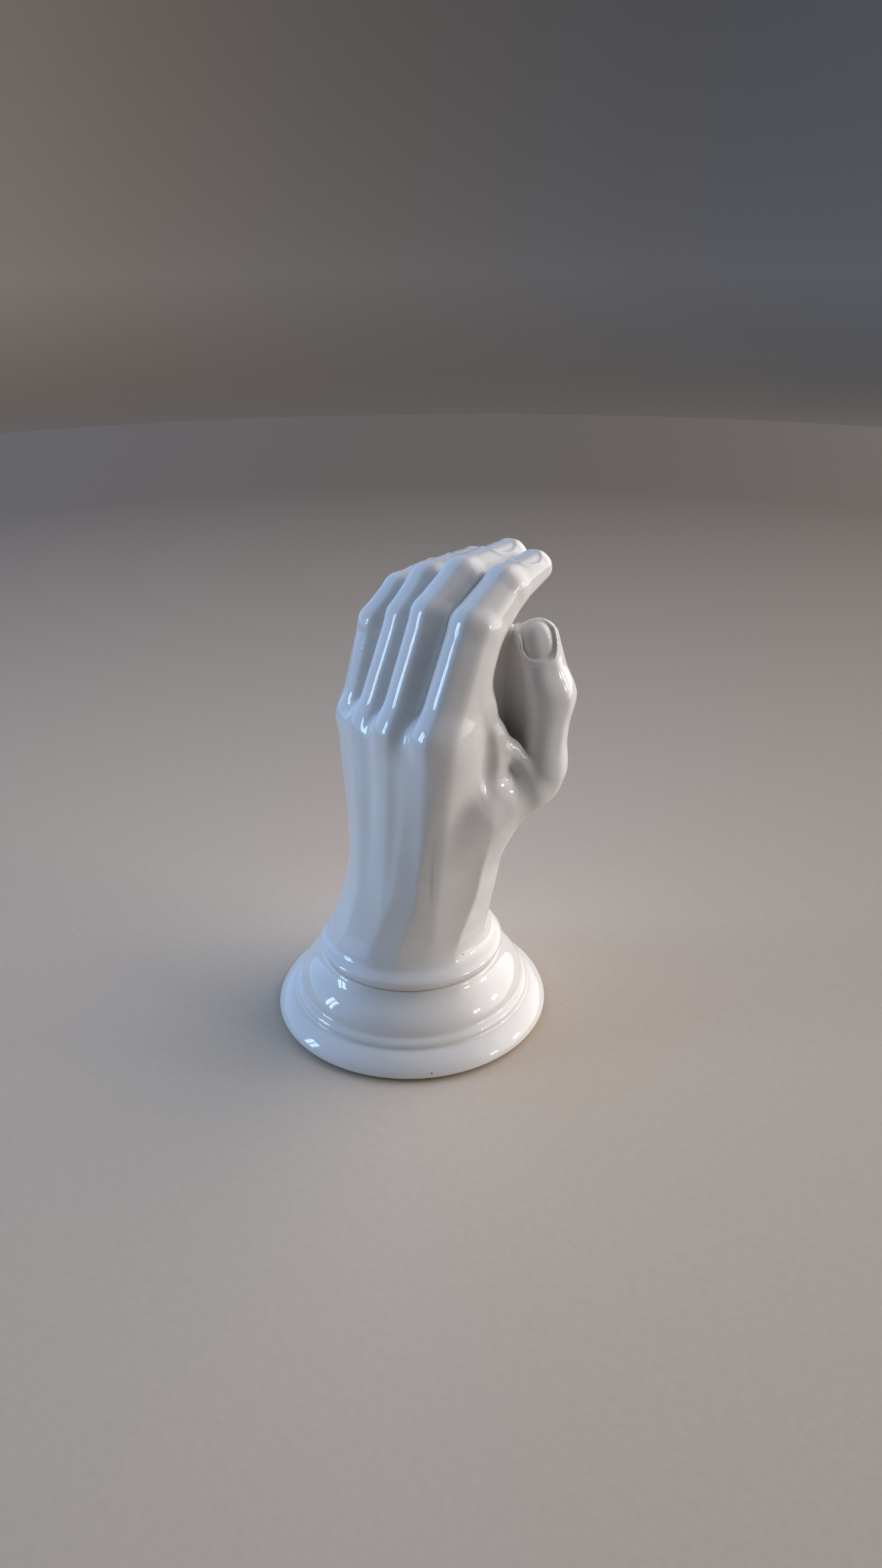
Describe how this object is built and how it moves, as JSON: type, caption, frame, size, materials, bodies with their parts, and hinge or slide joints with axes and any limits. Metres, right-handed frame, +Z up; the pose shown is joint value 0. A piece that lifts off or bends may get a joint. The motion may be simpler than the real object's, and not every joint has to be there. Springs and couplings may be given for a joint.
{
  "type": "display hand",
  "caption": "White glazed ceramic display hand, an upright left hand with curled touching fingers and a raised thumb on a round stepped foot.",
  "frame": {"origin": "on the table, under the middle of the round foot", "axes": "+Z up through the wrist; the back of the hand faces -Y, the fingers curl towards +Y and the thumb is on the +X side"},
  "size_m": [0.118, 0.118, 0.2005],
  "materials": {
    "glaze": "glossy clear-over-white glaze",
    "felt": "short dense felt"
  },
  "bodies": {
    "root": {"hand": "glaze", "foot": "glaze", "felt_pad_1": "felt", "felt_pad_2": "felt", "felt_pad_3": "felt", "felt_pad_4": "felt"}
  },
  "joints": []
}
